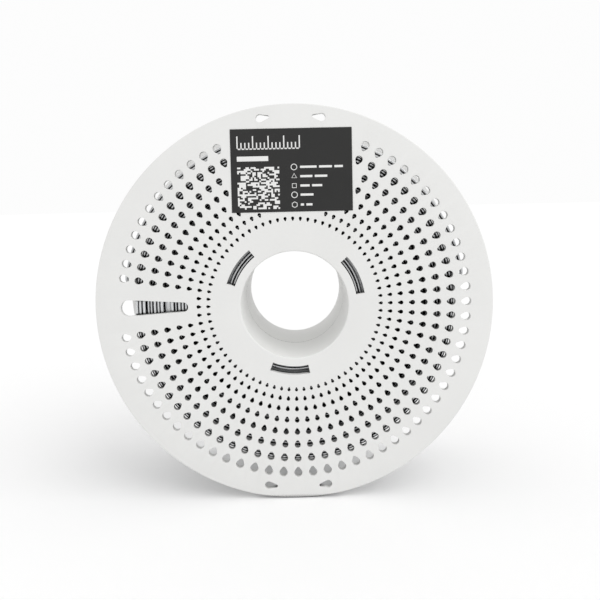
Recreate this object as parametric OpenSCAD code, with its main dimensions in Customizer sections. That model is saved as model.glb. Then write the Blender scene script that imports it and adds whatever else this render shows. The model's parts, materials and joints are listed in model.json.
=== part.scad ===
// Filament spool: two moulded halves snapped together in the middle of the hub, the wound
// filament and the label on the front flange. Millimetres. The spool's axle lies along Y, the
// front flange faces -Y, +Z is up, and the origin is on the axle at mid-width.

/* [Spool] */
// Diameter of both flanges
flange_d = 200; // [196:1:220]
// Width over both flanges
spool_w = 67; // [50:1:80]
// Thickness of a flange
flange_t = 3; // [2:0.5:4]
// Rounding of the rim's two edges
rim_round = 0.6; // [0.2:0.1:0.9]

/* [Hub] */
// Diameter of the bore that goes on a spool holder
bore_d = 54; // [48:1:56]
// Wall of the hub, which the lap joint splits in two
hub_wall = 4; // [3.4:0.1:5]
// Rounding of the bore's mouth in each flange
mouth_round = 0.7; // [0.3:0.1:2]

/* [Lap joint] */
// Length of the sleeve on the front half that overlaps the spigot of the rear half
lap_len = 9; // [7:0.5:14]
// Radial clearance between sleeve and spigot
lap_gap = 0.1; // [0.05:0.05:0.2]
// Chamfer on both sides of the seam in the bore
seam_chamfer = 0.25; // [0.1:0.05:0.4]
// Number of snap catches
catch_count = 3; // [2:1:6]
// Width of a snap catch, as an angle about the axle
catch_angle = 12; // [6:1:24]
// Length of a snap catch along the axle
catch_len = 3; // [2:0.5:5]
// How far a snap catch stands out of the spigot
catch_h = 1.2; // [0.8:0.1:1.6]
// Clearance around a snap catch in its window
catch_gap = 0.2; // [0.1:0.05:0.4]

/* [Vent holes] */
// Rings of vent holes
vent_rings = 8; // [1:1:8]
// Holes in a full ring
vent_lines = 72; // [36:1:72]
// Radius of the innermost ring
vent_first_r = 43.3; // [42:0.1:44]
// Step from the first ring to the second
vent_step = 4.8; // [4.4:0.1:4.8]
// How much each further step is longer than the one before
vent_step_growth = 0.45; // [0.2:0.05:0.45]
// Width of a hole in the innermost ring
vent_first_w = 1.5; // [1:0.1:1.7]
// How many times wider a hole is than one in the ring inside it
vent_w_growth = 1.16; // [1.05:0.01:1.17]
// How much longer than wide a hole in the innermost ring is
vent_tail = 0.6; // [0.3:0.1:0.8]
// How much that grows from ring to ring
vent_tail_growth = 0.04; // [0:0.01:0.06]

/* [Viewing slot] */
// Direction of the slot, counted from the right and turned to the left
slot_turn = 180; // [150:1:210]
// Radius of the slot's outer end
slot_outer_r = 87.4; // [80:0.2:90]
// Radius of the slot's inner end
slot_inner_r = 53.5; // [50:0.5:60]
// Width at the outer end
slot_outer_w = 8.3; // [6:0.1:9]
// Width at the inner end
slot_inner_w = 4.8; // [3:0.1:5.5]
// Plain band on each side of the slot's centre line, free of vent holes
slot_band = 8; // [6:0.5:8.5]

/* [Rim clips] */
// How far inside the rim the clip holes lie, which hold the filament's end
clip_inset = 5.8; // [5.2:0.1:6]
// Angle from the vertical line to a clip hole
clip_turn = 8.5; // [5:0.5:20]
// Width of a clip hole
clip_w = 3.9; // [3:0.1:5]
// Length of a clip hole along the rim
clip_len = 6.6; // [5.5:0.1:8]

/* [Hub windows] */
// Number of arc-shaped windows beside the hub
window_count = 3; // [2:1:4]
// How far outside the hub the windows start
window_inset = 0.4; // [0:0.1:2]
// Radial width of a window
window_w = 4.3; // [2:0.1:5]
// Length of a window, as an angle about the axle
window_angle = 33; // [20:1:50]
// Direction of the first window, counted from the right and turned to the left
window_turn = 25; // [0:1:60]

/* [Label] */
// Width of the label
label_w = 60; // [40:1:64]
// Height of the label
label_h = 41; // [30:1:44]
// Distance from the rim down to the label's upper edge
label_inset = 12.2; // [10:0.1:16]
// Thickness of the label
label_t = 0.2; // [0.1:0.05:0.4]
// How far the plain pad under the label reaches past its edges
label_margin = 0.5; // [0:0.1:2]

/* [Filament] */
// Diameter of the filament
filament_d = 1.75; // [1.5:0.05:2]
// Outer radius of the winding
winding_r = 81; // [70:0.2:82]
// Clearance between the winding and the spool
winding_gap = 0.15; // [0.1:0.05:0.5]
// Least gap between neighbouring turns
turn_gap = 0.03; // [0.02:0.01:0.1]
// How far short of the rear flange the last layer stops
end_inset = 8; // [6:1:20]
// How far the free end stops short of the rear flange's outer face
end_short = 0.5; // [0.2:0.1:1]
// Angle about the axle from where the free end leaves the winding to its clip hole
end_turn = 22; // [18:1:30]
// Number of slack turns beside the front flange, which stand off the winding's upper half
slack_turns = 3; // [0:1:3]
// How far the innermost slack turn stands off the winding
slack_lift = 1.3; // [0.5:0.1:2]
// Angle above the horizontal at which the outermost slack turn comes off the winding
slack_start = 1; // [0:1:20]
// Angle over which a slack turn rises to its full height
slack_rise = 9; // [6:1:20]
// Angle from where one slack turn comes off to where the one inside it does
slack_apart = 2; // [1:0.5:4]

/* [Hidden] */
half_w = spool_w / 2;
inner_half_w = half_w - flange_t;
flange_r = flange_d / 2;
bore_r = bore_d / 2;
hub_r = bore_r + hub_wall;
clip_r = flange_r - clip_inset;
window_inner_r = hub_r + window_inset;
label_z = flange_r - label_inset - label_h / 2;
lap_r = bore_r + hub_wall / 2;      // outside of the spigot
sleeve_r = lap_r + lap_gap;         // inside of the sleeve
catch_z = -lap_len / 2;             // middle of the catches, behind the seam
overcut = 1;                        // how far a cutting tool reaches past what it cuts
flank_in = 0.02;                    // how far a teardrop's flanks lie inside its rounds
round_fn = 180;
hole_fn = 32;
strand_sides = 8;
end_steps = 24;
slack_steps = 45;
plastic = [0.93, 0.93, 0.92];
silver = [0.72, 0.73, 0.74];
charcoal = [0.22, 0.22, 0.22];

// The spool is drawn as seen from the front, with its axle along the drawing's own Z and the
// front flange at the top of it. This stands it up with the front flange facing -Y.
module stand() rotate([90, 0, 0]) children();

// A teardrop along X, centred on its length, with its wide end towards +X. Its flanks lie a
// hair inside the line that touches both rounds, so that they cross the rounds cleanly.
module teardrop(length, wide_r, narrow_r) {
    reach = length - wide_r - narrow_r;
    lean = (wide_r - narrow_r) / reach;
    side = sqrt(1 - lean * lean);
    wide_in = wide_r - flank_in;
    narrow_in = narrow_r - flank_in;
    translate([length / 2 - wide_r, 0]) {
        circle(r = wide_r, $fn = hole_fn);
        translate([-reach, 0]) circle(r = narrow_r, $fn = hole_fn);
        polygon([
            [-wide_in * lean, wide_in * side],
            [-reach - narrow_in * lean, narrow_in * side],
            [-reach - narrow_in * lean, -narrow_in * side],
            [-wide_in * lean, -wide_in * side]
        ]);
    }
}

function vent_r(ring) =
    vent_first_r + vent_step * ring + vent_step_growth * ring * (ring - 1) / 2;
function vent_w(ring) = vent_first_w * pow(vent_w_growth, ring);
function vent_len(ring) = vent_w(ring) + vent_tail + vent_tail_growth * ring;

function under_label(x, y) =
    abs(x) < label_w / 2 + label_margin && abs(y - label_z) < label_h / 2 + label_margin;
function beside_slot(r, angle) =
    r > slot_inner_r - slot_inner_w / 2
    && cos(angle - slot_turn) > 0
    && abs(r * sin(angle - slot_turn)) < slot_band;

module vent_holes() {
    for (ring = [0:vent_rings - 1], line = [0:vent_lines - 1]) {
        r = vent_r(ring);
        angle = line * 360 / vent_lines;
        if (!under_label(r * cos(angle), r * sin(angle)) && !beside_slot(r, angle))
            rotate(angle) translate([r, 0])
                teardrop(vent_len(ring), vent_w(ring) / 2, vent_w(ring) / 4);
    }
}

module viewing_slot() {
    rotate(slot_turn) translate([(slot_outer_r + slot_inner_r) / 2, 0])
        teardrop(slot_outer_r - slot_inner_r, slot_outer_w / 2, slot_inner_w / 2);
}

// A pair at the top and a pair at the bottom, narrow ends towards each other
module clip_holes() {
    for (pair = [90, 270], hand = [-1, 1])
        rotate(pair + hand * clip_turn) translate([clip_r, 0]) rotate(hand * 90)
            teardrop(clip_len, clip_w / 2, clip_w / 5);
}

module hub_windows() {
    for (i = [0:window_count - 1])
        rotate(window_turn + i * 360 / window_count - window_angle / 2)
            arc_band(window_inner_r, window_inner_r + window_w, window_angle);
}

// A flat band between two radii that starts at X and turns to the left
module arc_band(inner_r, outer_r, angle) {
    far = 2 * outer_r;
    difference() {
        circle(r = outer_r, $fn = round_fn);
        circle(r = inner_r, $fn = round_fn);
        polygon([[0, 0], [far, 0], [far, -far], [-far, -far], [-far, far],
                 [far * cos(angle), far], [far * cos(angle), far * sin(angle)]]);
    }
}

// What goes right through a flange
module flange_openings() {
    vent_holes();
    viewing_slot();
    clip_holes();
    hub_windows();
}

// The corner that a rounding takes off, for a corner at the origin with the solid at -X -Y
module round_off(r) {
    translate([-r, -r]) difference() {
        square(r + overcut);
        circle(r = r, $fn = hole_fn);
    }
}

// Half of a spool's section, from the axle outwards, with the flange at the top and the hub
// reaching down to the height given
module half_section(hub_bottom) {
    difference() {
        union() {
            translate([bore_r, inner_half_w]) square([flange_r - bore_r, flange_t]);
            translate([bore_r, hub_bottom]) square([hub_wall, half_w - hub_bottom]);
        }
        translate([flange_r, half_w]) round_off(rim_round);
        translate([flange_r, inner_half_w]) mirror([0, 1]) round_off(rim_round);
        translate([bore_r, half_w]) mirror([1, 0]) round_off(mouth_round);
    }
}

// The small chamfer at the seam's edge in the bore, for a wall that ends at y = 0
module seam_edge() {
    translate([bore_r, 0]) polygon([
        [-overcut, -overcut], [seam_chamfer + overcut, -overcut], [seam_chamfer, 0],
        [0, seam_chamfer], [-overcut, seam_chamfer + overcut]
    ]);
}

module front_half() color(plastic) stand() difference() {
    rotate_extrude($fn = round_fn) {
        difference() {
            half_section(0);
            seam_edge();
        }
        translate([sleeve_r, -lap_len]) square([hub_r - sleeve_r, lap_len + overcut]);
    }
    translate([0, 0, inner_half_w - overcut])
        linear_extrude(flange_t + 2 * overcut) flange_openings();
    for (i = [0:catch_count - 1]) catch_window(window_turn + i * 360 / catch_count);
}

module catch_window(turn) {
    angle = catch_angle + 2 * catch_gap / hub_r * 180 / PI;
    size = catch_len + 2 * catch_gap;
    rotate(turn - angle / 2) rotate_extrude(angle = angle, $fn = round_fn)
        translate([lap_r - overcut / 2, catch_z - size / 2])
            square([hub_wall / 2 + overcut, size]);
}

// The flanges are alike, so this half is drawn facing the front and then turned about
module rear_half() color(plastic) stand() rotate([0, 180, 0]) {
    difference() {
        rotate_extrude($fn = round_fn) {
            half_section(lap_len + catch_gap);
            difference() {
                translate([bore_r, 0]) square([lap_r - bore_r, lap_len + overcut]);
                seam_edge();
            }
        }
        translate([0, 0, inner_half_w - overcut])
            linear_extrude(flange_t + 2 * overcut) flange_openings();
    }
    for (i = [0:catch_count - 1]) snap_catch(180 - window_turn - i * 360 / catch_count);
}

// A ramp that the sleeve slides over, with a square back that then holds it
module snap_catch(turn) {
    root = hub_wall / 4;
    back = -catch_z + catch_len / 2;
    rotate(turn - catch_angle / 2) rotate_extrude(angle = catch_angle, $fn = round_fn)
        polygon([
            [lap_r - root, back], [lap_r + catch_h, back],
            [lap_r + catch_h, back - catch_len / 3], [lap_r, back - catch_len],
            [lap_r - root, back - catch_len]
        ]);
}

// The winding as one body with round-backed turns, its slack turns, and the free end that is
// tucked through a clip hole at the bottom of the rear flange
module filament() color(silver) stand() {
    rotate_extrude($fn = round_fn) winding_section();
    for (i = [0:1:slack_turns - 1]) slack_turn(i);
    free_end();
}

side_z = inner_half_w - winding_gap - filament_d / 2;      // middle of the turns at each side
first_r = hub_r + winding_gap + filament_d / 2;             // middle of the innermost layer
last_r = winding_r - filament_d / 2;                        // middle of the last layer
under_r = last_r - filament_d * sin(60);                    // middle of the layer under it
last_z = end_inset - inner_half_w + filament_d / 2;         // where the last layer stops

// Half of the winding's section: the packed body, and the round backs of the outer turns. The
// last layer leaves the one under it bare beside the rear flange.
module winding_section() {
    inner = hub_r + winding_gap;
    translate([inner, -side_z]) square([under_r - inner, 2 * side_z]);
    translate([inner, last_z]) square([last_r - inner, side_z - last_z]);
    turn_row([last_r, last_z], [last_r, side_z]);
    turn_row([under_r, -side_z], [under_r, last_z - filament_d]);
    turn_row([first_r, side_z], [last_r, side_z]);
    turn_row([first_r, -side_z], [under_r, -side_z]);
}

// Turns cut across, evenly from one place to another, as close as they can lie
module turn_row(from, to) {
    gaps = floor(norm(to - from) / (filament_d + turn_gap));
    for (i = [0:gaps])
        translate(from + (to - from) * i / gaps) circle(d = filament_d, $fn = hole_fn);
}

function polar(r, angle, z) = [r * cos(angle), r * sin(angle), z];
// The end goes through the wide end of its clip hole. It leaves the winding along the turns
// and meets the flange square on.
end_angle = 270 - clip_turn - (clip_len - clip_w) / 2 / clip_r * 180 / PI;
end_start = polar(under_r, end_angle - end_turn, last_z - filament_d / 2);
end_leave = end_start + polar(clip_r - last_r, end_angle - end_turn + 90, 0);
end_arrive = polar(clip_r, end_angle, last_z);
end_tip = polar(clip_r, end_angle, end_short - half_w);

function bend(t) =
    pow(1 - t, 3) * end_start + 3 * pow(1 - t, 2) * t * end_leave
    + 3 * (1 - t) * t * t * end_arrive + pow(t, 3) * end_tip;

module free_end() strand([for (i = [0:end_steps]) bend(i / end_steps)]);

// A slack turn comes up out of the packed turns at one side, goes over the top and dives back
// in at the other side. Each one lies outside the one before and a little further from the flange.
module slack_turn(number) {
    lift = filament_d + slack_lift + number * (filament_d + turn_gap);
    z = side_z - filament_d * (0.55 + 0.35 * number);
    start = slack_start + slack_apart * (slack_turns - 1 - number);
    sweep = 180 - 2 * start;
    strand([for (i = [0:slack_steps])
        let (along = i / slack_steps * sweep, rise = min(1, along / slack_rise, (sweep - along) / slack_rise))
        polar(under_r + (last_r - under_r + lift) * rise * rise * (3 - 2 * rise), start + along, z)]);
}

function unit(v) = v / norm(v);
function heading(path, i) = unit(path[min(i + 1, len(path) - 1)] - path[max(i - 1, 0)]);
// A direction across the strand, which stays away from the axle along every path
function across(path, i) = unit(cross(heading(path, i), [path[i].x, path[i].y, 40]));

// A round strand swept along a path
module strand(path) {
    n = len(path) - 1;
    rings = [for (i = [0:n]) let (u = across(path, i), v = cross(heading(path, i), u))
        [for (k = [0:strand_sides - 1]) let (a = k * 360 / strand_sides)
            path[i] + filament_d / 2 * (cos(a) * u + sin(a) * v)]];
    sides = [for (i = [0:n - 1], k = [0:strand_sides - 1])
        let (a = i * strand_sides + k, b = i * strand_sides + (k + 1) % strand_sides)
        each [[a, b, b + strand_sides], [a, b + strand_sides, a + strand_sides]]];
    first = [for (k = [strand_sides - 1:-1:0]) k];
    last = [for (k = [0:strand_sides - 1]) n * strand_sides + k];
    polyhedron([for (ring = rings) each ring], concat(sides, [first, last]));
}

module label() color(charcoal) stand()
    translate([-label_w / 2, label_z - label_h / 2, half_w])
        cube([label_w, label_h, label_t]);

front_half();
rear_half();
filament();
label();
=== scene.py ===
"""A moulded filament spool with its wound silver filament and its label.

The two halves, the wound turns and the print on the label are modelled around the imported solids.
"""

import json
import math
import random

import bpy
from mathutils import Matrix, Vector


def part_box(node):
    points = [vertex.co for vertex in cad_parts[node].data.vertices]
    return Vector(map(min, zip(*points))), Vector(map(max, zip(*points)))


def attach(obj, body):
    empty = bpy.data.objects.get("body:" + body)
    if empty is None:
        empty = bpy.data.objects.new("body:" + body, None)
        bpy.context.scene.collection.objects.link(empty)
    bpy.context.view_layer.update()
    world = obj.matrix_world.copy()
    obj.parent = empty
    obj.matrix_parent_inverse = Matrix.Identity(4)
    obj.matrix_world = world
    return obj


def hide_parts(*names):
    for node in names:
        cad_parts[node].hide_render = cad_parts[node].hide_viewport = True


bl_info = {
    "name": "Filament spool",
    "version": (1, 0, 0),
    "blender": (4, 5, 0),
    "location": "3D View > Sidebar > Spool",
    "description": "Models a moulded filament spool with its winding and label",
    "category": "Object",
}

MM = 0.001
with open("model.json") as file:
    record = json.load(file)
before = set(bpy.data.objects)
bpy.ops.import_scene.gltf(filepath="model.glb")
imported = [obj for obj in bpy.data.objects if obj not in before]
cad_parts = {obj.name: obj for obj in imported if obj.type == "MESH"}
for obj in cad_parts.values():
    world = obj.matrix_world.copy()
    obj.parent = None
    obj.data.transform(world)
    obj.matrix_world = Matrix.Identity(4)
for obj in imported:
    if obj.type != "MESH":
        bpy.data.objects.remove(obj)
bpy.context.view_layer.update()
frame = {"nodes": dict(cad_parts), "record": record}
FRONT_LOW, FRONT_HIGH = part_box("front_half")
LABEL_LOW, LABEL_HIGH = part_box("label")
LABEL_MIDDLE = Vector(
    ((LABEL_LOW.x + LABEL_HIGH.x) / 2, LABEL_LOW.y, (LABEL_LOW.z + LABEL_HIGH.z) / 2)
)
BORE = next(m for m in frame["record"]["mounts"] if m["name"] == "bore")
BORE_RADIUS = BORE["dims"]["r_mm"] * MM

FLANGE_RADIUS = FRONT_HIGH.x
HALF_WIDTH = -FRONT_LOW.y
LAP_LENGTH = FRONT_HIGH.y
ROOT = "root"


def length(name, default, description):
    """A size property in metres."""
    return bpy.props.FloatProperty(
        name=name, description=description, default=default, min=0, precision=5, unit="LENGTH"
    )


def angle(name, degrees, description):
    """An angle property, given in degrees and kept in radians."""
    return bpy.props.FloatProperty(
        name=name, description=description, default=math.radians(degrees), unit="ROTATION"
    )


def number(name, default, description):
    """A plain number."""
    return bpy.props.FloatProperty(name=name, description=description, default=default)


def count(name, default, description):
    """A whole number."""
    return bpy.props.IntProperty(name=name, description=description, default=default, min=0)


def vector(name, default, description, **options):
    """A vector property."""
    return bpy.props.FloatVectorProperty(
        name=name, description=description, default=default, size=3, **options
    )


def colour(name, default, description):
    """A colour property."""
    return vector(name, default, description, min=0, max=1, subtype="COLOR")


class SpoolMoulding(bpy.types.PropertyGroup):
    """Sizes of the two moulded halves."""

    flange_t: length("Flange thickness", 3 * MM, "Thickness of a flange")
    rim_round: length("Rim rounding", 0.6 * MM, "Rounding of the rim's two edges")
    hub_wall: length("Hub wall", 4 * MM, "Wall of the hub")
    mouth_round: length("Mouth rounding", 0.7 * MM, "Rounding of the bore's mouth")
    lap_gap: length("Lap clearance", 0.1 * MM, "Radial clearance between sleeve and spigot")
    shoulder_gap: length("Shoulder clearance", 0.2 * MM, "Gap between sleeve end and shoulder")
    seam_chamfer: length("Seam chamfer", 0.25 * MM, "Chamfer on both sides of the bore's seam")
    seam_gap: length("Seam gap", 0.22 * MM, "Gap between the halves at the bore's seam")
    hole_edge: length("Hole edge", 0.12 * MM, "Chamfer round every opening in a flange")
    vent_rings: count("Vent rings", 8, "Rings of vent holes")
    vent_lines: count("Vent lines", 72, "Holes in a full ring")
    vent_margin: length("Label margin", 0.5 * MM, "Plain band round the label")
    vent_first_r: length("First ring", 43.3 * MM, "Radius of the innermost ring of vent holes")
    vent_step: length("Ring step", 4.8 * MM, "Step from the first ring to the second")
    vent_step_growth: length("Ring step growth", 0.45 * MM, "Growth of the step from ring to ring")
    vent_first_w: length("First hole width", 1.5 * MM, "Width of a hole in the innermost ring")
    vent_w_growth: number("Hole growth", 1.16, "How many times wider each ring's holes are")
    vent_tail: length("Hole tail", 0.6 * MM, "How much longer than wide a first hole is")
    vent_tail_growth: length("Hole tail growth", 0.04 * MM, "Growth of the tail from ring to ring")
    slot_outer_r: length("Slot outer end", 87.4 * MM, "Radius of the viewing slot's outer end")
    slot_inner_r: length("Slot inner end", 53.5 * MM, "Radius of the viewing slot's inner end")
    slot_outer_w: length("Slot outer width", 8.3 * MM, "Width of the viewing slot's outer end")
    slot_inner_w: length("Slot inner width", 4.8 * MM, "Width of the viewing slot's inner end")
    slot_band: length("Slot band", 8 * MM, "Plain band on each side of the viewing slot")
    clip_r: length("Clip hole radius", 94.2 * MM, "Radius at which the clip holes lie")
    clip_turn: angle("Clip hole angle", 8.5, "Angle from the vertical to a clip hole")
    clip_w: length("Clip hole width", 3.9 * MM, "Width of a clip hole")
    clip_len: length("Clip hole length", 6.6 * MM, "Length of a clip hole along the rim")
    window_inner_r: length("Window radius", 31.4 * MM, "Inner radius of the hub windows")
    window_w: length("Window width", 4.3 * MM, "Radial width of a hub window")
    window_angle: angle("Window length", 33, "Length of a hub window as an angle")
    window_turn: angle("Window direction", 25, "Direction of the first hub window")
    plastic: colour("Plastic", (0.835, 0.835, 0.822), "Colour of the moulded plastic")


class SpoolWinding(bpy.types.PropertyGroup):
    """Sizes of the wound filament."""

    filament_d: length("Filament", 1.75 * MM, "Diameter of the filament")
    outer_r: length("Winding radius", 81 * MM, "Outer radius of the winding")
    gap: length("Clearance", 0.15 * MM, "Clearance between the winding and the spool")
    end_inset: length("End inset", 8 * MM, "How far short of the rear flange the last layer stops")
    end_short: length("End short", 0.5 * MM, "How far the end stops short of the outer face")
    end_turn: angle("End angle", 22, "Angle from where the end leaves to its clip hole")
    slack_turns: count("Slack turns", 3, "Turns that stand off the winding at the front")
    slack_lift: length("Slack lift", 1.3 * MM, "How far the innermost slack turn stands off")
    slack_start: angle("Slack start", 1, "Angle at which the outermost slack turn comes off")
    slack_rise: angle("Slack rise", 9, "Angle over which a slack turn rises to its full height")
    slack_apart: angle("Slack apart", 2, "Angle from one slack turn's start to the next one's")
    slack_wander: length("Slack wander", 0.15 * MM, "How far a slack turn wanders off its round")
    side_wander: length("Side wander", 0.12 * MM, "How far a side turn wanders off its round")
    sink_wander: length("Sink wander", 0.15 * MM, "How unevenly a side turn sinks")
    layer_wander: length("Layer wander", 0.10 * MM, "How far a turn of a layer wanders sideways")
    layer_dip: length("Layer dip", 0.12 * MM, "How far a turn of a layer may lie below the others")
    silk: colour("Silk", (0.80, 0.81, 0.82), "Colour of the filament")


class SpoolLabel(bpy.types.PropertyGroup):
    """Sizes and colours of the label's print."""

    ink_t: length("Ink", 0.03 * MM, "Thickness of the print")
    film: colour("Film", (0.026, 0.026, 0.0255), "Colour of the label")
    ink: colour("Ink colour", (0.85, 0.85, 0.84), "Colour of the print")


class SpoolStage(bpy.types.PropertyGroup):
    """The floor, the lights and the camera."""

    lens: number("Lens", 34.97, "Focal length in mm")
    rise: number("Rise", -0.0926, "Vertical shift of the frame, as a share of its width")
    place: vector("Camera", (2.5 * MM, -323.7 * MM, 49.4 * MM), "Where the camera stands")
    ahead: vector("Ahead", (0.0030, 0.9979, -0.0655), "Where the camera looks")
    roll: angle("Camera roll", 1.24, "How far the camera leans to the right")
    floor_r: length("Floor", 40, "Radius of the floor")
    sky: number("Sky", 0.82, "Strength of the world's light")
    backdrop: number("Backdrop", 0.98, "White of the world to the camera and in reflections")
    key: number("Key light", 0.9, "Strength of the key light")
    key_place: vector("Key place", (0.75, -0.55, 1.0), "Where the key light shines from")
    key_spread: angle("Key spread", 50, "How wide the key light is, as an angle")
    glow: number("Floor glow", 0.13, "White that the floor adds for the camera")


# ---------------------------------------------------------------- modelling by hand


def deselect():
    """Nothing is selected or active afterwards, and Blender is in object mode."""
    if bpy.context.object and bpy.context.object.mode != "OBJECT":
        bpy.ops.object.mode_set(mode="OBJECT")
    bpy.ops.object.select_all(action="DESELECT")


def make_active(piece):
    """Selects this piece alone."""
    deselect()
    piece.select_set(True)
    bpy.context.view_layer.objects.active = piece


def edit(piece, test=lambda point: True):
    """Opens the piece for editing with the points selected that pass the test."""
    make_active(piece)
    mesh = piece.data
    for vertex in mesh.vertices:
        vertex.select = test(vertex.co)
    for edge in mesh.edges:
        edge.select = all(mesh.vertices[i].select for i in edge.vertices)
    for face in mesh.polygons:
        face.select = all(mesh.vertices[i].select for i in face.vertices)
    bpy.ops.object.mode_set(mode="EDIT")


def closed_up():
    """In edit mode: merges doubles, turns all faces outwards and goes back to object mode."""
    bpy.ops.mesh.select_all(action="SELECT")
    bpy.ops.mesh.remove_doubles(threshold=0.001 * MM)
    bpy.ops.mesh.normals_make_consistent(inside=False)
    bpy.ops.object.mode_set(mode="OBJECT")


def settled(piece):
    """Moves the piece's place into its mesh, so that its object sits at the origin."""
    make_active(piece)
    bpy.ops.object.transform_apply(location=True, rotation=True, scale=True)
    return piece


def joined(pieces, name):
    """Several pieces as one mesh."""
    make_active(pieces[0])
    for piece in pieces:
        piece.select_set(True)
    bpy.ops.object.join()
    pieces[0].name = name
    return settled(pieces[0])


def facing_front(turn):
    """A turn to the left about the axle, as seen from the front."""
    return Matrix.Rotation(-turn, 4, "Y")


def rounded(radius, place, size, start, end, steps):
    """Stations along a quarter round; 0 degrees is away from the axle and 90 is to the rear."""
    angles = [math.radians(start + (end - start) * i / steps) for i in range(steps + 1)]
    return [(radius + size * math.cos(a), place + size * math.sin(a)) for a in angles]


def turned(name, stations, sides):
    """A body of revolution about the axle: a ring carried through stations of (radius, place)."""
    deselect()
    (radius, place), *others = stations
    bpy.ops.mesh.primitive_circle_add(
        vertices=sides, radius=radius, location=(0, place, 0), rotation=(math.pi / 2, 0, 0)
    )
    piece = settled(bpy.context.object)
    piece.name = name
    edit(piece)
    for next_radius, next_place in others:
        bpy.ops.mesh.extrude_edges_indiv()
        bpy.ops.transform.translate(value=(0, next_place - place, 0))
        wider = next_radius / radius
        bpy.ops.transform.resize(value=(wider, 1, wider), center_override=(0, 0, 0))
        radius, place = next_radius, next_place
    closed_up()
    return piece


def teardrop(long, wide_r, narrow_r, points):
    """A flat teardrop in the flange's plane: a round whose narrow side is shrunk and drawn out."""
    deselect()
    bpy.ops.mesh.primitive_circle_add(
        vertices=points, radius=wide_r, fill_type="NGON", rotation=(math.pi / 2, 0, 0)
    )
    piece = settled(bpy.context.object)
    reach = long - wide_r - narrow_r
    touch = -wide_r * (wide_r - narrow_r) / reach
    edit(piece, lambda point: point.x < touch)
    shrink = narrow_r / wide_r
    bpy.ops.transform.resize(value=(shrink, 1, shrink), center_override=(0, 0, 0))
    bpy.ops.transform.translate(value=(-reach, 0, 0))
    bpy.ops.mesh.select_all(action="SELECT")
    bpy.ops.transform.translate(value=(long / 2 - wide_r, 0, 0))
    bpy.ops.object.mode_set(mode="OBJECT")
    return piece


def band(inner_r, width, sweep, steps):
    """A flat band along an arc, its middle at the origin and its bow towards +X."""
    deselect()
    bpy.ops.mesh.primitive_plane_add(size=width, location=(inner_r + width / 2, 0, 0))
    piece = settled(bpy.context.object)
    edit(piece, lambda point: point.y > 0)
    bpy.ops.mesh.delete(type="VERT")
    bpy.ops.mesh.select_all(action="SELECT")
    bpy.ops.transform.translate(value=(0, width / 2, 0))
    bpy.ops.mesh.spin(steps=steps, angle=sweep, center=(0, 0, 0), axis=(0, 1, 0))
    bpy.ops.mesh.select_all(action="SELECT")
    bpy.ops.mesh.remove_doubles(threshold=0.001 * MM)
    bpy.ops.object.mode_set(mode="OBJECT")
    to_origin = Matrix.Translation((-inner_r - width / 2, 0, 0))
    piece.matrix_world = to_origin @ facing_front(-sweep / 2)
    return settled(piece)


def plug(outline, thickness, edge):
    """Carries a flat outline through the front flange, flared at both faces for the edges."""
    size = outline.dimensions
    flare = [1 + 4 * edge / size.x, 1, 1 + 4 * edge / size.z]
    back = [1 / flare[0], 1, 1 / flare[2]]
    across = [v.co.x for v in outline.data.vertices]
    upright = [v.co.z for v in outline.data.vertices]
    centre = ((min(across) + max(across)) / 2, 0, (min(upright) + max(upright)) / 2)
    edit(outline)
    bpy.ops.transform.translate(value=(0, -HALF_WIDTH - edge, 0))
    bpy.ops.transform.resize(value=flare, center_override=centre)
    for depth, scale in ((2 * edge, back), (thickness - 2 * edge, None), (2 * edge, flare)):
        bpy.ops.mesh.extrude_region_move(TRANSFORM_OT_translate={"value": (0, depth, 0)})
        if scale:
            bpy.ops.transform.resize(value=scale, center_override=centre)
    closed_up()
    return outline


def placed(piece, places):
    """Copies of the piece at each place, each with its own mesh. The first one goes."""
    copies = []
    for place in places:
        copy = piece.copy()
        copy.data = piece.data.copy()
        copy.matrix_world = place
        bpy.context.collection.objects.link(copy)
        copies.append(copy)
    bpy.data.objects.remove(piece)
    return copies


def cut(piece, tool):
    """Takes the tool's shape out of the piece."""
    modifier = piece.modifiers.new("openings", "BOOLEAN")
    modifier.operation = "DIFFERENCE"
    modifier.solver = "MANIFOLD"
    modifier.object = tool
    make_active(piece)
    bpy.ops.object.modifier_apply(modifier=modifier.name)
    bpy.data.objects.remove(tool)


def finished(piece, material, slot, *nodes, smooth=math.radians(35)):
    """Gives the piece its material and shading, hangs it on the root body and hides the imported
    parts that it stands for.
    """
    piece.data.materials.clear()
    piece.data.materials.append(material)
    make_active(piece)
    bpy.ops.object.shade_smooth_by_angle(angle=smooth)
    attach(piece, ROOT)
    if nodes:
        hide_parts(*nodes)
    return piece


# ---------------------------------------------------------------- finishes


def grain_group():
    """Shader group: a soft cloudy tone and a fine height, for surfaces that aren't perfect."""
    if "surface_grain" in bpy.data.node_groups:
        return bpy.data.node_groups["surface_grain"]
    group = bpy.data.node_groups.new("surface_grain", "ShaderNodeTree")
    for name, kind, value in (
        ("Vector", "NodeSocketVector", None),
        ("Cloud Scale", "NodeSocketFloat", 40.0),
        ("Grain Scale", "NodeSocketFloat", 1500.0),
    ):
        socket = group.interface.new_socket(name, in_out="INPUT", socket_type=kind)
        if value is not None:
            socket.default_value = value
    for name in ("Tone", "Height"):
        group.interface.new_socket(name, in_out="OUTPUT", socket_type="NodeSocketFloat")
    nodes, links = group.nodes, group.links
    inputs = nodes.new("NodeGroupInput")
    outputs = nodes.new("NodeGroupOutput")
    for scale, detail, output in (("Cloud Scale", 3.0, "Tone"), ("Grain Scale", 2.0, "Height")):
        noise = nodes.new("ShaderNodeTexNoise")
        noise.inputs["Detail"].default_value = detail
        links.new(inputs.outputs["Vector"], noise.inputs["Vector"])
        links.new(inputs.outputs[scale], noise.inputs["Scale"])
        links.new(noise.outputs["Fac"], outputs.inputs[output])
    return group


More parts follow.
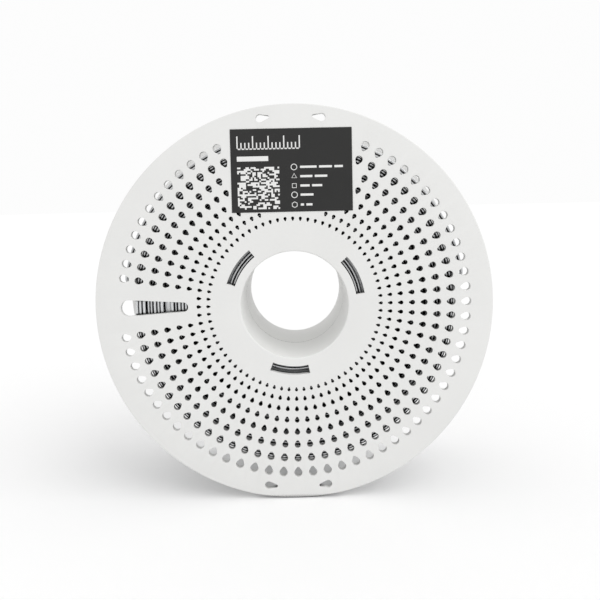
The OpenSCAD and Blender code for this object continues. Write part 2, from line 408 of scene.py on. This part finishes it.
def new_material(name):
    """An empty material and its node tree."""
    material = bpy.data.materials.new(name)
    material.use_nodes = True
    material.node_tree.nodes.clear()
    return material, material.node_tree.nodes, material.node_tree.links


def varied(low, high, nodes, links, tone):
    """A colour between two, by the tone."""
    ramp = nodes.new("ShaderNodeValToRGB")
    ramp.color_ramp.elements[0].position = 0.3
    ramp.color_ramp.elements[0].color = (*low, 1)
    ramp.color_ramp.elements[1].position = 0.7
    ramp.color_ramp.elements[1].color = (*high, 1)
    links.new(tone, ramp.inputs["Fac"])
    return ramp.outputs["Color"]


def between(low, high, nodes, links, tone):
    """A number between two, by the tone."""
    span = nodes.new("ShaderNodeMapRange")
    span.inputs["From Min"].default_value = 0.3
    span.inputs["From Max"].default_value = 0.7
    span.inputs["To Min"].default_value = low
    span.inputs["To Max"].default_value = high
    links.new(tone, span.inputs["Value"])
    return span.outputs["Result"]


def painted_crevice_shade(colour_output, reach, span, nodes, links):
    """Painted shade: the colour, darkened from open to closed in where nearby surfaces would shade
    it; span holds both ends of the openness.
    """
    open_sky = nodes.new("ShaderNodeAmbientOcclusion")
    open_sky.samples = 8
    open_sky.inputs["Distance"].default_value = reach
    shade = nodes.new("ShaderNodeValToRGB")
    shade.color_ramp.elements[0].position = span[0]
    shade.color_ramp.elements[0].color = (0.02, 0.02, 0.02, 1)
    shade.color_ramp.elements[1].position = span[1]
    shade.color_ramp.elements[1].color = (1, 1, 1, 1)
    links.new(open_sky.outputs["AO"], shade.inputs["Fac"])
    mix = nodes.new("ShaderNodeMix")
    mix.data_type = "RGBA"
    mix.blend_type = "MULTIPLY"
    mix.inputs["Factor"].default_value = 1.0
    links.new(colour_output, mix.inputs["A"])
    links.new(shade.outputs["Color"], mix.inputs["B"])
    return mix.outputs["Result"]


def surface(name, base, spread, roughness, cloud, grain, depth, reach=None, span=(0.4, 0.85)):
    """A grained surface: base colour with a tone spread, a roughness range and a fine bump.

    Cloud and grain are noise scales, and depth is the grain's height. With a reach, gaps and
    recesses narrower than it get painted shade: their colour is darkened.
    """
    material, nodes, links = new_material(name)
    coordinates = nodes.new("ShaderNodeTexCoord")
    group = nodes.new("ShaderNodeGroup")
    group.node_tree = grain_group()
    group.inputs["Cloud Scale"].default_value = cloud
    group.inputs["Grain Scale"].default_value = grain
    links.new(coordinates.outputs["Object"], group.inputs["Vector"])
    shader = nodes.new("ShaderNodeBsdfPrincipled")
    tone = group.outputs["Tone"]
    low = [c * (1 - spread) for c in base]
    high = [min(1, c * (1 + spread)) for c in base]
    colour_output = varied(low, high, nodes, links, tone)
    # painted shade: gaps and recesses within the reach are darkened in the colour
    if reach:
        colour_output = painted_crevice_shade(colour_output, reach, span, nodes, links)
    links.new(colour_output, shader.inputs["Base Color"])
    links.new(between(*roughness, nodes, links, tone), shader.inputs["Roughness"])
    bump = nodes.new("ShaderNodeBump")
    bump.inputs["Strength"].default_value = 1.0
    bump.inputs["Distance"].default_value = depth
    links.new(group.outputs["Height"], bump.inputs["Height"])
    links.new(bump.outputs["Normal"], shader.inputs["Normal"])
    output = nodes.new("ShaderNodeOutputMaterial")
    links.new(shader.outputs["BSDF"], output.inputs["Surface"])
    return material, shader


def plastic_material(base):
    """Matte moulded plastic with a fine spark-eroded grain, and painted shade darkening its holes
    and other recesses.
    """
    if "moulded_plastic" in bpy.data.materials:
        return bpy.data.materials["moulded_plastic"]
    material, shader = surface(
        "moulded_plastic",
        base,
        spread=0.012,
        roughness=(0.50, 0.60),
        cloud=45.0,
        grain=1600.0,
        depth=0.010 * MM,
        # painted shade: hole walls and recesses within this reach are darkened in the colour
        reach=3 * MM,
    )
    shader.inputs["Specular IOR Level"].default_value = 0.35
    return material


def silk_material(base):
    """Silver silk filament with painted shade: the colour is darkened between strands, so each
    strand stays bright only along its top.
    """
    if "silk_filament" in bpy.data.materials:
        return bpy.data.materials["silk_filament"]
    material, shader = surface(
        "silk_filament",
        base,
        spread=0.05,
        roughness=(0.26, 0.36),
        cloud=160.0,
        grain=2600.0,
        depth=0.004 * MM,
        # painted shade: the colour goes dark between strands and where a flange covers them
        reach=1.3 * MM,
        span=(0.68, 1.0),
    )
    shader.inputs["Metallic"].default_value = 0.85
    return material


def film_material(base):
    """Matte dark label film."""
    material, shader = surface(
        "label_film",
        base,
        spread=0.06,
        roughness=(0.42, 0.52),
        cloud=60.0,
        grain=1800.0,
        depth=0.003 * MM,
    )
    shader.inputs["Specular IOR Level"].default_value = 0.25
    return material


def ink_material(base):
    """Matte white print."""
    material, _ = surface(
        "label_ink",
        base,
        spread=0.02,
        roughness=(0.55, 0.65),
        cloud=90.0,
        grain=2200.0,
        depth=0.002 * MM,
    )
    return material


# ---------------------------------------------------------------- the halves


def hub_radius(sizes):
    """The outside of the hub."""
    return BORE_RADIUS + sizes.hub_wall


def sleeve_radius(sizes):
    """The inside of the front half's sleeve."""
    return BORE_RADIUS + sizes.hub_wall / 2 + sizes.lap_gap


def vent_places(sizes, radius):
    """Where the holes of one ring go: all round, but not under the label or beside the slot."""
    label_top = LABEL_HIGH.z + sizes.vent_margin
    label_foot = LABEL_LOW.z - sizes.vent_margin
    label_side = LABEL_HIGH.x + sizes.vent_margin
    slot_end = sizes.slot_inner_r - sizes.slot_inner_w / 2
    places = []
    for line in range(sizes.vent_lines):
        turn = line * math.tau / sizes.vent_lines
        x, z = radius * math.cos(turn), radius * math.sin(turn)
        under_label = abs(x) < label_side and label_foot < z < label_top
        beside_slot = radius > slot_end and x < 0 and abs(z) < sizes.slot_band
        if not under_label and not beside_slot:
            places.append(facing_front(turn) @ Matrix.Translation((radius, 0, 0)))
    return places


def vent_plugs(sizes):
    """A plug for every vent hole."""
    plugs = []
    for ring in range(sizes.vent_rings):
        radius = (
            sizes.vent_first_r
            + sizes.vent_step * ring
            + sizes.vent_step_growth * ring * (ring - 1) / 2
        )
        width = sizes.vent_first_w * sizes.vent_w_growth**ring
        tail = sizes.vent_tail + sizes.vent_tail_growth * ring
        outline = teardrop(width + tail, width / 2, width / 4, 16)
        hole = plug(outline, sizes.flange_t, sizes.hole_edge)
        plugs += placed(hole, vent_places(sizes, radius))
    return plugs


def slot_plug(sizes):
    """The plug for the viewing slot, at the left."""
    span = sizes.slot_outer_r - sizes.slot_inner_r
    outline = teardrop(span, sizes.slot_outer_w / 2, sizes.slot_inner_w / 2, 48)
    middle = (sizes.slot_outer_r + sizes.slot_inner_r) / 2
    place = facing_front(math.pi) @ Matrix.Translation((middle, 0, 0))
    return placed(plug(outline, sizes.flange_t, sizes.hole_edge), [place])


def clip_plugs(sizes):
    """The plugs for the clip holes: a pair at the top and a pair at the bottom."""
    outline = teardrop(sizes.clip_len, sizes.clip_w / 2, sizes.clip_w / 5, 32)
    places = [
        facing_front(middle + hand * sizes.clip_turn)
        @ Matrix.Translation((sizes.clip_r, 0, 0))
        @ facing_front(hand * math.pi / 2)
        for middle in (math.pi / 2, -math.pi / 2)
        for hand in (-1, 1)
    ]
    return placed(plug(outline, sizes.flange_t, sizes.hole_edge), places)


def window_plugs(sizes):
    """The plugs for the arc windows beside the hub."""
    outline = band(sizes.window_inner_r, sizes.window_w, sizes.window_angle, 16)
    middle = sizes.window_inner_r + sizes.window_w / 2
    places = [
        facing_front(sizes.window_turn + i * math.tau / 3) @ Matrix.Translation((middle, 0, 0))
        for i in range(3)
    ]
    return placed(plug(outline, sizes.flange_t, sizes.hole_edge), places)


def half_stations(sizes):
    """The front half's section: seam, bore, mouth, face, rim, inner face and sleeve."""
    hub, sleeve = hub_radius(sizes), sleeve_radius(sizes)
    face, back = -HALF_WIDTH, sizes.flange_t - HALF_WIDTH
    mouth, rim = sizes.mouth_round, sizes.rim_round
    seam = (BORE_RADIUS + sizes.seam_chamfer, -sizes.seam_gap / 2)
    return [
        seam,
        (BORE_RADIUS, -sizes.seam_chamfer),
        *rounded(BORE_RADIUS + mouth, face + mouth, mouth, 180, 270, 8),
        *rounded(FLANGE_RADIUS - rim, face + rim, rim, 270, 360, 4),
        *rounded(FLANGE_RADIUS - rim, back - rim, rim, 0, 90, 4),
        (hub, back),
        (hub, LAP_LENGTH),
        (sleeve, LAP_LENGTH),
        (sleeve, -sizes.seam_gap / 2),
        seam,
    ]


class SPOOL_OT_halves(bpy.types.Operator):
    """Models the perforated front half, and turns a copy of it about for the rear half"""

    bl_idname = "spool.halves"
    bl_label = "Moulded halves"

    def execute(self, context):
        sizes = context.scene.spool_moulding
        front = turned("front_moulding", half_stations(sizes), 192)
        plugs = vent_plugs(sizes) + slot_plug(sizes) + clip_plugs(sizes) + window_plugs(sizes)
        cut(front, joined(plugs, "plugs"))
        rear = front.copy()
        rear.data = front.data.copy()
        rear.name = "rear_moulding"
        context.collection.objects.link(rear)
        rear.matrix_world = Matrix.Rotation(math.pi, 4, "Z")
        self.make_spigot(settled(rear), sizes)
        plastic = plastic_material(sizes.plastic)
        finished(front, plastic, "moulding", "front_half")
        finished(rear, plastic, "moulding", "rear_half")
        return {"FINISHED"}

    def make_spigot(self, rear, sizes):
        """Turns the sleeve at the end of the hub into the spigot that goes inside it."""
        sleeve, near = sleeve_radius(sizes), 0.02 * MM
        edit(rear, lambda point: point.y < -LAP_LENGTH / 2)
        drawn_back = 2 * LAP_LENGTH + sizes.shoulder_gap
        bpy.ops.transform.translate(value=(0, drawn_back, 0))
        bpy.ops.object.mode_set(mode="OBJECT")
        edit(rear, lambda point: abs(Vector((point.x, point.z)).length - sleeve) < near)
        slimmer = 1 - sizes.lap_gap / sleeve
        bpy.ops.transform.resize(value=(slimmer, 1, slimmer), center_override=(0, 0, 0))
        bpy.ops.object.mode_set(mode="OBJECT")


# ---------------------------------------------------------------- the winding

# These are all in strand widths.
SINKS = (0, 0.15, 0.3, 0.6, 0.9, 1.3)  # how deep a side turn may sink, one picked for each
BODY_BELOW = 2.2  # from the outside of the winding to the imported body
BODY_BEHIND = 1.3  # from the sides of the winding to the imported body
BODY_CORNER = 0.5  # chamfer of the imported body
UNDER_COVERED = 2.5  # how far the under layer runs on under the last one
UNDER_PITCH = 1.01  # from turn to turn in the under layer
TOP_PITCH = 1.015  # from turn to turn in the last layer
SLACK_PITCH = 1.017  # from a slack turn outwards to the next
SLACK_BACK = 0.55  # from the side of the winding back to the innermost slack turn
SLACK_STAGGER = 0.35  # how much farther back each next slack turn lies
LAYER_RISE = math.sin(math.pi / 3)  # from a layer up to the next, which lies in its grooves


def at(radius, turn, place):
    """A point by its radius, its turn to the left seen from the front, and its place."""
    return Vector((radius * math.cos(turn), place, radius * math.sin(turn)))


def strand(name, points, diameter, closed=False):
    """A round strand of filament along the points, as a mesh."""
    curve = bpy.data.curves.new(name, "CURVE")
    curve.dimensions = "3D"
    curve.bevel_depth = diameter / 2
    curve.bevel_resolution = 2
    curve.use_fill_caps = True
    spline = curve.splines.new("POLY")
    spline.points.add(len(points) - 1)
    for knot, point in zip(spline.points, points):
        knot.co = (*point, 1)
    spline.use_cyclic_u = closed
    piece = bpy.data.objects.new(name, curve)
    bpy.context.collection.objects.link(piece)
    make_active(piece)
    bpy.ops.object.convert(target="MESH")
    return bpy.context.object


def waver(rng, size):
    """A smooth closed wave round the turn, a few per turn, of about this size."""
    waves = [(rng.uniform(0.2, 1) * size / n, n, rng.uniform(0, math.tau)) for n in (1, 2, 3, 5)]
    return lambda turn: sum(height * math.sin(n * turn + start) for height, n, start in waves)


def side_turns(name, sign, moulding, winding, rng, steps=144):
    """The turns that show through a flange: one ring for every layer, some sunk, some proud."""
    d = winding.filament_d
    hub = hub_radius(moulding) + winding.gap
    layers = int((winding.outer_r - hub) / d)
    pitch = (winding.outer_r - hub - d) / (layers - 1)
    side = HALF_WIDTH - moulding.flange_t - winding.gap - d / 2
    rings = []
    for layer in range(layers):
        held = layer in (0, layers - 1)
        sunk = 0 if held else rng.choice(SINKS) * d
        radius = hub + d / 2 + layer * pitch
        radius_wave = waver(rng, winding.side_wander)
        sunk_wave = waver(rng, winding.sink_wander)
        points = []
        for i in range(steps):
            turn = i * math.tau / steps
            place = sign * (side - max(0, sunk + sunk_wave(turn)))
            points.append(at(radius if held else radius + radius_wave(turn), turn, place))
        rings.append(strand(f"{name}_{layer}", points, d, closed=True))
    return joined(rings, name)


def layer_turns(start, end, radius, pitch, winding, rng, last_turn, steps=120):
    """Points of a helix from one place to another along the axle, ending at the last turn."""
    turns = (end - start) / pitch
    last = int(turns * steps)
    drift = waver(rng, winding.layer_wander)
    dips = [rng.uniform(0, winding.layer_dip) for _ in range(int(turns) + 3)]
    points = []
    for i in range(last + 1):
        along = i / last
        turn = last_turn - (1 - along) * turns * math.tau
        lap = along * turns
        here, share = int(lap), lap % 1
        dip = dips[here] * (1 - share) + dips[here + 1] * share
        points.append(at(radius - dip, turn, start + along * (end - start) + drift(turn)))
    return points


def bend(p0, p1, p2, p3, steps):
    """Points along a smooth bend with these four handles, without the first."""
    points = []
    for i in range(1, steps + 1):
        t = i / steps
        s = 1 - t
        points.append(s**3 * p0 + 3 * s * s * t * p1 + 3 * s * t * t * p2 + t**3 * p3)
    return points


class SPOOL_OT_winding(bpy.types.Operator):
    """Winds the filament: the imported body, the turns seen at both sides and the outer layers"""

    bl_idname = "spool.winding"
    bl_label = "Wound filament"

    def execute(self, context):
        winding = context.scene.spool_winding
        moulding = context.scene.spool_moulding
        rng = random.Random(17)
        silk = silk_material(winding.silk)
        inside = HALF_WIDTH - moulding.flange_t - winding.gap
        pieces = [
            self.packed_body(moulding, winding, inside),
            side_turns("front_side_turns", -1, moulding, winding, rng),
            side_turns("rear_side_turns", 1, moulding, winding, rng),
            self.under_layer(winding, inside, rng),
            self.top_layer(moulding, winding, inside, rng),
            self.slack_turns(winding, inside, rng),
        ]
        for piece in pieces:
            finished(piece, silk, "filament", "filament", smooth=math.radians(80))
        return {"FINISHED"}

    def packed_body(self, moulding, winding, inside):
        """The body of the winding under the turns that show."""
        d = winding.filament_d
        low = hub_radius(moulding) + winding.gap
        high = winding.outer_r - BODY_BELOW * d
        side = inside - BODY_BEHIND * d
        corner = BODY_CORNER * d
        return turned(
            "packed_turns",
            [
                (low, -side),
                (high - corner, -side),
                (high, -side + corner),
                (high, side - corner),
                (high - corner, side),
                (low, side),
                (low, -side),
            ],
            144,
        )

    def under_layer(self, winding, inside, rng):
        """The layer below the last one, from under it to the rear flange, where it dives in."""
        d = winding.filament_d
        radius = winding.outer_r - d / 2 - d * LAYER_RISE
        start = inside - winding.end_inset - UNDER_COVERED * d
        place = inside - d / 2
        last_turn = math.pi
        points = layer_turns(start, place, radius, d * UNDER_PITCH, winding, rng, last_turn)
        steps, step_down, step_on = 8, d / 5, 0.03
        for i in range(1, steps + 1):
            points.append(at(radius - i * step_down, last_turn + i * step_on, place))
        return strand("under_layer", points, d)

    def top_layer(self, moulding, winding, inside, rng):
        """The last layer, which stops before the rear flange, and its end in the clip hole."""
        d = winding.filament_d
        radius = winding.outer_r - d / 2
        seat = (moulding.clip_len - moulding.clip_w) / 2 / moulding.clip_r
        hole = -math.pi / 2 - moulding.clip_turn - seat
        leave = hole - winding.end_turn
        inner_face = HALF_WIDTH - moulding.flange_t
        place = inner_face - winding.end_inset
        points = layer_turns(d / 2 - inside, place, radius, d * TOP_PITCH, winding, rng, leave)
        start = points[-1]
        pull = (points[-1] - points[-2]).normalized() * (moulding.clip_r - radius)
        points += bend(
            start,
            start + pull,
            at(moulding.clip_r, hole, place),
            at(moulding.clip_r, hole, HALF_WIDTH - winding.end_short),
            24,
        )
        return strand("top_layer", points, d)

    def slack_turns(self, winding, inside, rng):
        """The turns that stand off the winding over its upper half, close to the front flange."""
        d = winding.filament_d
        rest = winding.outer_r - d / 2
        under = rest - d * LAYER_RISE
        steps = 180
        turns = []
        for i in range(winding.slack_turns):
            top = rest + d + winding.slack_lift + i * SLACK_PITCH * d
            place = d / 2 - inside + (SLACK_BACK + SLACK_STAGGER * i) * d
            start = winding.slack_start + winding.slack_apart * (winding.slack_turns - 1 - i)
            sweep = math.pi - 2 * start
            wave = waver(rng, winding.slack_wander)
            points = []
            for k in range(steps + 1):
                along = sweep * k / steps
                rise = min(1, along / winding.slack_rise, (sweep - along) / winding.slack_rise)
                share = rise * rise * (3 - 2 * rise)
                radius = under + (top + wave(along) - under) * share
                points.append(at(radius, start + along, place))
            turns.append(strand(f"slack_turn_{i}", points, d))
        return joined(turns, "slack_turns")


# ---------------------------------------------------------------- the label's print

PRINT_LEFT = -26.9  # left edge of the print in mm, from the label's middle


def plate(u, v, width, height):
    """A flat plate of print, its lower left corner at u, v from the label's middle, in mm."""
    deselect()
    place = LABEL_MIDDLE + Vector((u + width / 2, 0, v + height / 2)) * MM
    bpy.ops.mesh.primitive_plane_add(size=MM, location=place, rotation=(math.pi / 2, 0, 0))
    bpy.ops.transform.resize(value=(width, 1, height))
    return settled(bpy.context.object)


def outline_mark(u, v, radius, stroke, sides):
    """A regular outline of print with its middle at u, v: a ring, a triangle or a square."""
    deselect()
    bpy.ops.mesh.primitive_circle_add(
        vertices=sides,
        radius=radius * MM,
        location=LABEL_MIDDLE + Vector((u, 0, v)) * MM,
        rotation=(math.pi / 2, math.pi / 4 if sides == 4 else 0, 0),
    )
    piece = bpy.context.object
    centre = piece.location.copy()
    settled(piece)
    edit(piece)
    bpy.ops.mesh.extrude_edges_indiv()
    share = 1 - stroke / radius
    bpy.ops.transform.resize(value=(share, 1, share), center_override=centre)
    bpy.ops.object.mode_set(mode="OBJECT")
    return piece


def gauge_marks():
    """A plain scale: a line with short and tall ticks."""
    foot, stroke, ticks, step = 10.4, 0.6, 17, 1.92
    tall, short, every = 6.6, 3.4, 4
    marks = [plate(PRINT_LEFT, foot, 31.3, stroke)]
    for i in range(ticks):
        height = short if i % every else tall
        marks.append(plate(PRINT_LEFT + i * step, foot, stroke, height))
    return marks


def title_mark():
    """A plain bar."""
    return plate(PRINT_LEFT, 4.7, 15.5, 2.4)


def block_marks(rng, cells=25, size=20.8, foot=-19.0):
    """A square field of small blocks at random."""
    cell = size / cells
    marks = []
    for row in range(cells):
        column = 0
        while column < cells:
            run = min(rng.randint(1, 2), cells - column)
            if rng.random() < 0.5:
                left = PRINT_LEFT + column * cell
                marks.append(plate(left, foot + row * cell, run * cell, cell))
            column += run
    return marks


def row_marks():
    """Five rows, each an outline and a few words' worth of dashes."""
    outline_u, outline_r, stroke = 1.2, 1.6, 0.35
    dash_u, dash_gap, dash_height = 4.2, 1.2, 1.1
    rows = (
        (1.5, 32, (8.2, 6.4, 4.2)),
        (-3.1, 3, (6.0, 6.2)),
        (-7.7, 4, (4.6, 5.0)),
        (-12.2, 32, (6.4,)),
        (-17.1, 6, (1.6, 3.0)),
    )
    marks = []
    for v, sides, dashes in rows:
        marks.append(outline_mark(outline_u, v, outline_r, stroke, sides))
        u = dash_u
        for dash in dashes:
            marks.append(plate(u, v - dash_height / 2, dash, dash_height))
            u += dash + dash_gap
    return marks


class SPOOL_OT_label_print(bpy.types.Operator):
    """Prints plain marks on the label: a scale, a title bar, a block field and five rows"""

    bl_idname = "spool.label_print"
    bl_label = "Label and print"

    def execute(self, context):
        label = context.scene.spool_label
        film = frame["nodes"]["label"]
        film.data.materials.clear()
        film.data.materials.append(film_material(label.film))
        rng = random.Random(5)
        marks = gauge_marks() + [title_mark()] + block_marks(rng) + row_marks()
        print_ = joined(marks, "label_print")
        edit(print_)
        bpy.ops.mesh.extrude_region_move(TRANSFORM_OT_translate={"value": (0, -label.ink_t, 0)})
        bpy.ops.mesh.select_all(action="SELECT")
        bpy.ops.mesh.normals_make_consistent(inside=False)
        bpy.ops.object.mode_set(mode="OBJECT")
        finished(print_, ink_material(label.ink), "label")
        return {"FINISHED"}


# ---------------------------------------------------------------- the stage


def floor_material(strength):
    """White to the camera, and darker only where the spool shades it."""
    material, nodes, links = new_material("floor_white")
    path = nodes.new("ShaderNodeLightPath")
    glow = nodes.new("ShaderNodeMath")
    glow.operation = "MULTIPLY"
    glow.inputs[1].default_value = strength
    links.new(path.outputs["Is Camera Ray"], glow.inputs[0])
    shader = nodes.new("ShaderNodeBsdfPrincipled")
    shader.inputs["Base Color"].default_value = (0.86, 0.86, 0.86, 1)
    shader.inputs["Roughness"].default_value = 1.0
    shader.inputs["Specular IOR Level"].default_value = 0.0
    shader.inputs["Emission Color"].default_value = (1, 1, 1, 1)
    links.new(glow.outputs["Value"], shader.inputs["Emission Strength"])
    output = nodes.new("ShaderNodeOutputMaterial")
    links.new(shader.outputs["BSDF"], output.inputs["Surface"])
    return material


def white_world(strength, white):
    """Even light all round; white to the camera and in reflections."""
    world = bpy.data.worlds.new("studio")
    world.use_nodes = True
    nodes, links = world.node_tree.nodes, world.node_tree.links
    nodes.clear()
    path = nodes.new("ShaderNodeLightPath")
    seen = path.outputs["Is Camera Ray"]
    for ray in ("Is Glossy Ray", "Is Transmission Ray"):
        both = nodes.new("ShaderNodeMath")
        both.operation = "MAXIMUM"
        links.new(seen, both.inputs[0])
        links.new(path.outputs[ray], both.inputs[1])
        seen = both.outputs["Value"]
    mix = nodes.new("ShaderNodeMixShader")
    links.new(seen, mix.inputs["Fac"])
    for slot, brightness in ((1, strength), (2, white)):
        background = nodes.new("ShaderNodeBackground")
        background.inputs["Color"].default_value = (1, 1, 1, 1)
        background.inputs["Strength"].default_value = brightness
        links.new(background.outputs["Background"], mix.inputs[slot])
    output = nodes.new("ShaderNodeOutputWorld")
    links.new(mix.outputs["Shader"], output.inputs["Surface"])
    return world


def soft_sun(name, place, spread, strength):
    """An even soft light that shines from a place towards the middle of the spool."""
    data = bpy.data.lights.new(name, "SUN")
    data.angle = spread
    data.energy = strength
    lamp = bpy.data.objects.new(name, data)
    lamp.location = place
    lamp.rotation_euler = (-Vector(place)).to_track_quat("-Z", "Y").to_euler()
    bpy.context.collection.objects.link(lamp)
    return lamp


class SPOOL_OT_stage(bpy.types.Operator):
    """Sets the pale floor, the soft studio light and the camera"""

    bl_idname = "spool.stage"
    bl_label = "Stage"

    def execute(self, context):
        stage = context.scene.spool_stage
        deselect()
        bpy.ops.mesh.primitive_circle_add(
            vertices=64, radius=stage.floor_r, fill_type="NGON", location=(0, 0, FRONT_LOW.z)
        )
        floor = settled(bpy.context.object)
        floor.name = "floor"
        floor.data.materials.append(floor_material(stage.glow))
        context.scene.world = white_world(stage.sky, stage.backdrop)
        soft_sun("key", stage.key_place, stage.key_spread, stage.key)
        self.camera(context, stage)
        context.scene.view_settings.view_transform = "Standard"
        return {"FINISHED"}

    def camera(self, context, stage):
        """The camera in front, a little to the right and above, leaning to the right."""
        data = bpy.data.cameras.new("camera")
        data.lens = stage.lens
        data.sensor_width = 36
        data.shift_y = stage.rise
        camera = bpy.data.objects.new("camera", data)
        level = Vector(stage.ahead).to_track_quat("-Z", "Y").to_matrix().to_4x4()
        lean = Matrix.Rotation(-stage.roll, 4, "Z")
        camera.matrix_world = Matrix.Translation(stage.place) @ level @ lean
        context.collection.objects.link(camera)
        context.scene.camera = camera


class SPOOL_PT_panel(bpy.types.Panel):
    """Lists the spool's pieces in the sidebar"""

    bl_idname = "SPOOL_PT_panel"
    bl_label = "Filament spool"
    bl_space_type = "VIEW_3D"
    bl_region_type = "UI"
    bl_category = "Spool"

    def draw(self, context):
        for operator in STEPS:
            self.layout.operator(operator.bl_idname)


STEPS = (SPOOL_OT_halves, SPOOL_OT_winding, SPOOL_OT_label_print, SPOOL_OT_stage)
GROUPS = {
    "spool_moulding": SpoolMoulding,
    "spool_winding": SpoolWinding,
    "spool_label": SpoolLabel,
    "spool_stage": SpoolStage,
}


def register():
    """Registers the properties, the operators and the panel."""
    for name, group in GROUPS.items():
        bpy.utils.register_class(group)
        setattr(bpy.types.Scene, name, bpy.props.PointerProperty(type=group))
    for cls in (*STEPS, SPOOL_PT_panel):
        bpy.utils.register_class(cls)


def unregister():
    """Takes them away again, last first."""
    for cls in reversed((*STEPS, SPOOL_PT_panel)):
        bpy.utils.unregister_class(cls)
    for name, group in reversed(GROUPS.items()):
        delattr(bpy.types.Scene, name)
        bpy.utils.unregister_class(group)


def main():
    register()
    bpy.ops.spool.halves()
    bpy.ops.spool.winding()
    bpy.ops.spool.label_print()
    bpy.ops.spool.stage()


if __name__ == "__main__":
    main()
